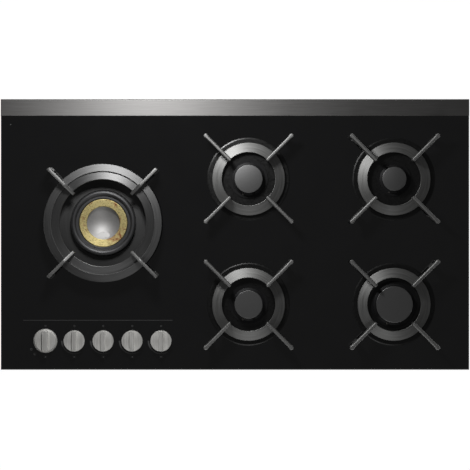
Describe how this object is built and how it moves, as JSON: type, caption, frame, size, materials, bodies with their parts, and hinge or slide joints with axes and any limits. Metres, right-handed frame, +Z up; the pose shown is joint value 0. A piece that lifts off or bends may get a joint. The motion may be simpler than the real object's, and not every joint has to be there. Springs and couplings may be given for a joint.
{
  "type": "gas cooktop",
  "caption": "Built-in black glass gas cooktop with a wok burner on the left, round burners with lift-off pan supports, push-and-turn knobs and a steel strip at the back.",
  "frame": {"origin": "centre of the cooktop's outline, on the worktop plane under its seal", "axes": "+X to the right, +Y to the back, +Z up"},
  "size_m": [0.9, 0.52, 0.114],
  "materials": {
    "black_glass": "gloss",
    "trim_steel": "brushed along its length",
    "foam_seal": "matte",
    "pressed_steel": "zinc-plated",
    "dish_enamel": "satin",
    "cast_aluminium": "as cast",
    "valve_brass": "machined",
    "plug_ceramic": "matte",
    "plain_steel": "plain",
    "black_plastic": "matte",
    "silicone_rubber": "matte",
    "drawn_aluminium": "drawn",
    "polished_steel": "polished",
    "support_enamel": "brushed, dark",
    "crown_aluminium": "blackened",
    "cap_enamel": "matte enamel",
    "wok_crown_metal": "dark gunmetal",
    "ring_brass": "raw, pitted",
    "knob_steel": "brushed"
  },
  "bodies": {
    "cooktop": {"glass_top": "black_glass", "rear_trim": "trim_steel", "glass_seal": "foam_seal", "bottom_box": "pressed_steel", "burner_frame": "pressed_steel", "burner_dishes": "dish_enamel", "burner_cups": "cast_aluminium", "injectors": "valve_brass", "spark_insulators": "plug_ceramic", "spark_pins": "plain_steel", "flame_probes": "plain_steel", "screws": "plain_steel", "clamp_brackets": "pressed_steel", "valve_bodies": "cast_aluminium", "stem_springs": "plain_steel", "ignition_switches": "black_plastic", "knob_bezels": "silicone_rubber", "valve_bracket": "pressed_steel", "gas_rail": "pressed_steel", "gas_tubes": "drawn_aluminium", "inlet_fitting": "valve_brass", "spark_generator": "black_plastic", "ignition_leads": "silicone_rubber", "terminal_box": "black_plastic", "wok_bowl": "polished_steel"},
    "support_rear_middle": {"pan_support_rear_middle": "support_enamel", "rubber_feet_rear_middle": "silicone_rubber"},
    "support_rear_right": {"pan_support_rear_right": "support_enamel", "rubber_feet_rear_right": "silicone_rubber"},
    "support_front_middle": {"pan_support_front_middle": "support_enamel", "rubber_feet_front_middle": "silicone_rubber"},
    "support_front_right": {"pan_support_front_right": "support_enamel", "rubber_feet_front_right": "silicone_rubber"},
    "support_wok": {"pan_support_wok": "support_enamel", "rubber_feet_wok": "silicone_rubber"},
    "crown_rear_middle": {"burner_crown_rear_middle": "crown_aluminium"},
    "cap_rear_middle": {"burner_cap_rear_middle": "cap_enamel"},
    "crown_rear_right": {"burner_crown_rear_right": "crown_aluminium"},
    "cap_rear_right": {"burner_cap_rear_right": "cap_enamel"},
    "crown_front_middle": {"burner_crown_front_middle": "crown_aluminium"},
    "cap_front_middle": {"burner_cap_front_middle": "cap_enamel"},
    "crown_front_right": {"burner_crown_front_right": "crown_aluminium"},
    "cap_front_right": {"burner_cap_front_right": "cap_enamel"},
    "wok_crown_body": {"wok_crown": "wok_crown_metal"},
    "wok_ring_body": {"wok_brass_ring": "ring_brass"},
    "plug_1": {"valve_plug_1": "valve_brass"},
    "knob_1_stem": {"valve_stem_1": "plain_steel", "knob_1": "knob_steel"},
    "plug_2": {"valve_plug_2": "valve_brass"},
    "knob_2_stem": {"valve_stem_2": "plain_steel", "knob_2": "knob_steel"},
    "plug_3": {"valve_plug_3": "valve_brass"},
    "knob_3_stem": {"valve_stem_3": "plain_steel", "knob_3": "knob_steel"},
    "plug_4": {"valve_plug_4": "valve_brass"},
    "knob_4_stem": {"valve_stem_4": "plain_steel", "knob_4": "knob_steel"},
    "plug_5": {"valve_plug_5": "valve_brass"},
    "knob_5_stem": {"valve_stem_5": "plain_steel", "knob_5": "knob_steel"}
  },
  "joints": [
    {"name": "lift_support_rear_middle", "type": "slide", "parent": "cooktop", "child": "support_rear_middle", "axis": [0, 0, 1], "range_m": [0, 0.12]},
    {"name": "lift_support_rear_right", "type": "slide", "parent": "cooktop", "child": "support_rear_right", "axis": [0, 0, 1], "range_m": [0, 0.12]},
    {"name": "lift_support_front_middle", "type": "slide", "parent": "cooktop", "child": "support_front_middle", "axis": [0, 0, 1], "range_m": [0, 0.12]},
    {"name": "lift_support_front_right", "type": "slide", "parent": "cooktop", "child": "support_front_right", "axis": [0, 0, 1], "range_m": [0, 0.12]},
    {"name": "lift_support_wok", "type": "slide", "parent": "cooktop", "child": "support_wok", "axis": [0, 0, 1], "range_m": [0, 0.12]},
    {"name": "lift_crown_rear_middle", "type": "slide", "parent": "cooktop", "child": "crown_rear_middle", "axis": [0, 0, 1], "range_m": [0, 0.05]},
    {"name": "lift_cap_rear_middle", "type": "slide", "parent": "crown_rear_middle", "child": "cap_rear_middle", "axis": [0, 0, 1], "range_m": [0, 0.03]},
    {"name": "lift_crown_rear_right", "type": "slide", "parent": "cooktop", "child": "crown_rear_right", "axis": [0, 0, 1], "range_m": [0, 0.05]},
    {"name": "lift_cap_rear_right", "type": "slide", "parent": "crown_rear_right", "child": "cap_rear_right", "axis": [0, 0, 1], "range_m": [0, 0.03]},
    {"name": "lift_crown_front_middle", "type": "slide", "parent": "cooktop", "child": "crown_front_middle", "axis": [0, 0, 1], "range_m": [0, 0.05]},
    {"name": "lift_cap_front_middle", "type": "slide", "parent": "crown_front_middle", "child": "cap_front_middle", "axis": [0, 0, 1], "range_m": [0, 0.03]},
    {"name": "lift_crown_front_right", "type": "slide", "parent": "cooktop", "child": "crown_front_right", "axis": [0, 0, 1], "range_m": [0, 0.05]},
    {"name": "lift_cap_front_right", "type": "slide", "parent": "crown_front_right", "child": "cap_front_right", "axis": [0, 0, 1], "range_m": [0, 0.03]},
    {"name": "lift_wok_crown", "type": "slide", "parent": "cooktop", "child": "wok_crown_body", "axis": [0, 0, 1], "range_m": [0, 0.04]},
    {"name": "lift_wok_ring", "type": "slide", "parent": "cooktop", "child": "wok_ring_body", "axis": [0, 0, 1], "range_m": [0, 0.06]},
    {"name": "turn_knob_1", "type": "hinge", "parent": "cooktop", "child": "plug_1", "pos_m": [-0.364, -0.2042, -0.02], "axis": [0, 0, 1], "range_deg": [0, 210]},
    {"name": "push_knob_1", "type": "slide", "parent": "plug_1", "child": "knob_1_stem", "axis": [0, 0, -1], "range_m": [0, 0.0035], "stiffness_N_per_m": 1500, "springref_m": -0.002, "deforming": ["stem_springs"]},
    {"name": "turn_knob_2", "type": "hinge", "parent": "cooktop", "child": "plug_2", "pos_m": [-0.3085, -0.2042, -0.02], "axis": [0, 0, 1], "range_deg": [0, 210]},
    {"name": "push_knob_2", "type": "slide", "parent": "plug_2", "child": "knob_2_stem", "axis": [0, 0, -1], "range_m": [0, 0.0035], "stiffness_N_per_m": 1500, "springref_m": -0.002, "deforming": ["stem_springs"]},
    {"name": "turn_knob_3", "type": "hinge", "parent": "cooktop", "child": "plug_3", "pos_m": [-0.253, -0.2042, -0.02], "axis": [0, 0, 1], "range_deg": [0, 210]},
    {"name": "push_knob_3", "type": "slide", "parent": "plug_3", "child": "knob_3_stem", "axis": [0, 0, -1], "range_m": [0, 0.0035], "stiffness_N_per_m": 1500, "springref_m": -0.002, "deforming": ["stem_springs"]},
    {"name": "turn_knob_4", "type": "hinge", "parent": "cooktop", "child": "plug_4", "pos_m": [-0.1975, -0.2042, -0.02], "axis": [0, 0, 1], "range_deg": [0, 210]},
    {"name": "push_knob_4", "type": "slide", "parent": "plug_4", "child": "knob_4_stem", "axis": [0, 0, -1], "range_m": [0, 0.0035], "stiffness_N_per_m": 1500, "springref_m": -0.002, "deforming": ["stem_springs"]},
    {"name": "turn_knob_5", "type": "hinge", "parent": "cooktop", "child": "plug_5", "pos_m": [-0.142, -0.2042, -0.02], "axis": [0, 0, 1], "range_deg": [0, 210]},
    {"name": "push_knob_5", "type": "slide", "parent": "plug_5", "child": "knob_5_stem", "axis": [0, 0, -1], "range_m": [0, 0.0035], "stiffness_N_per_m": 1500, "springref_m": -0.002, "deforming": ["stem_springs"]}
  ]
}
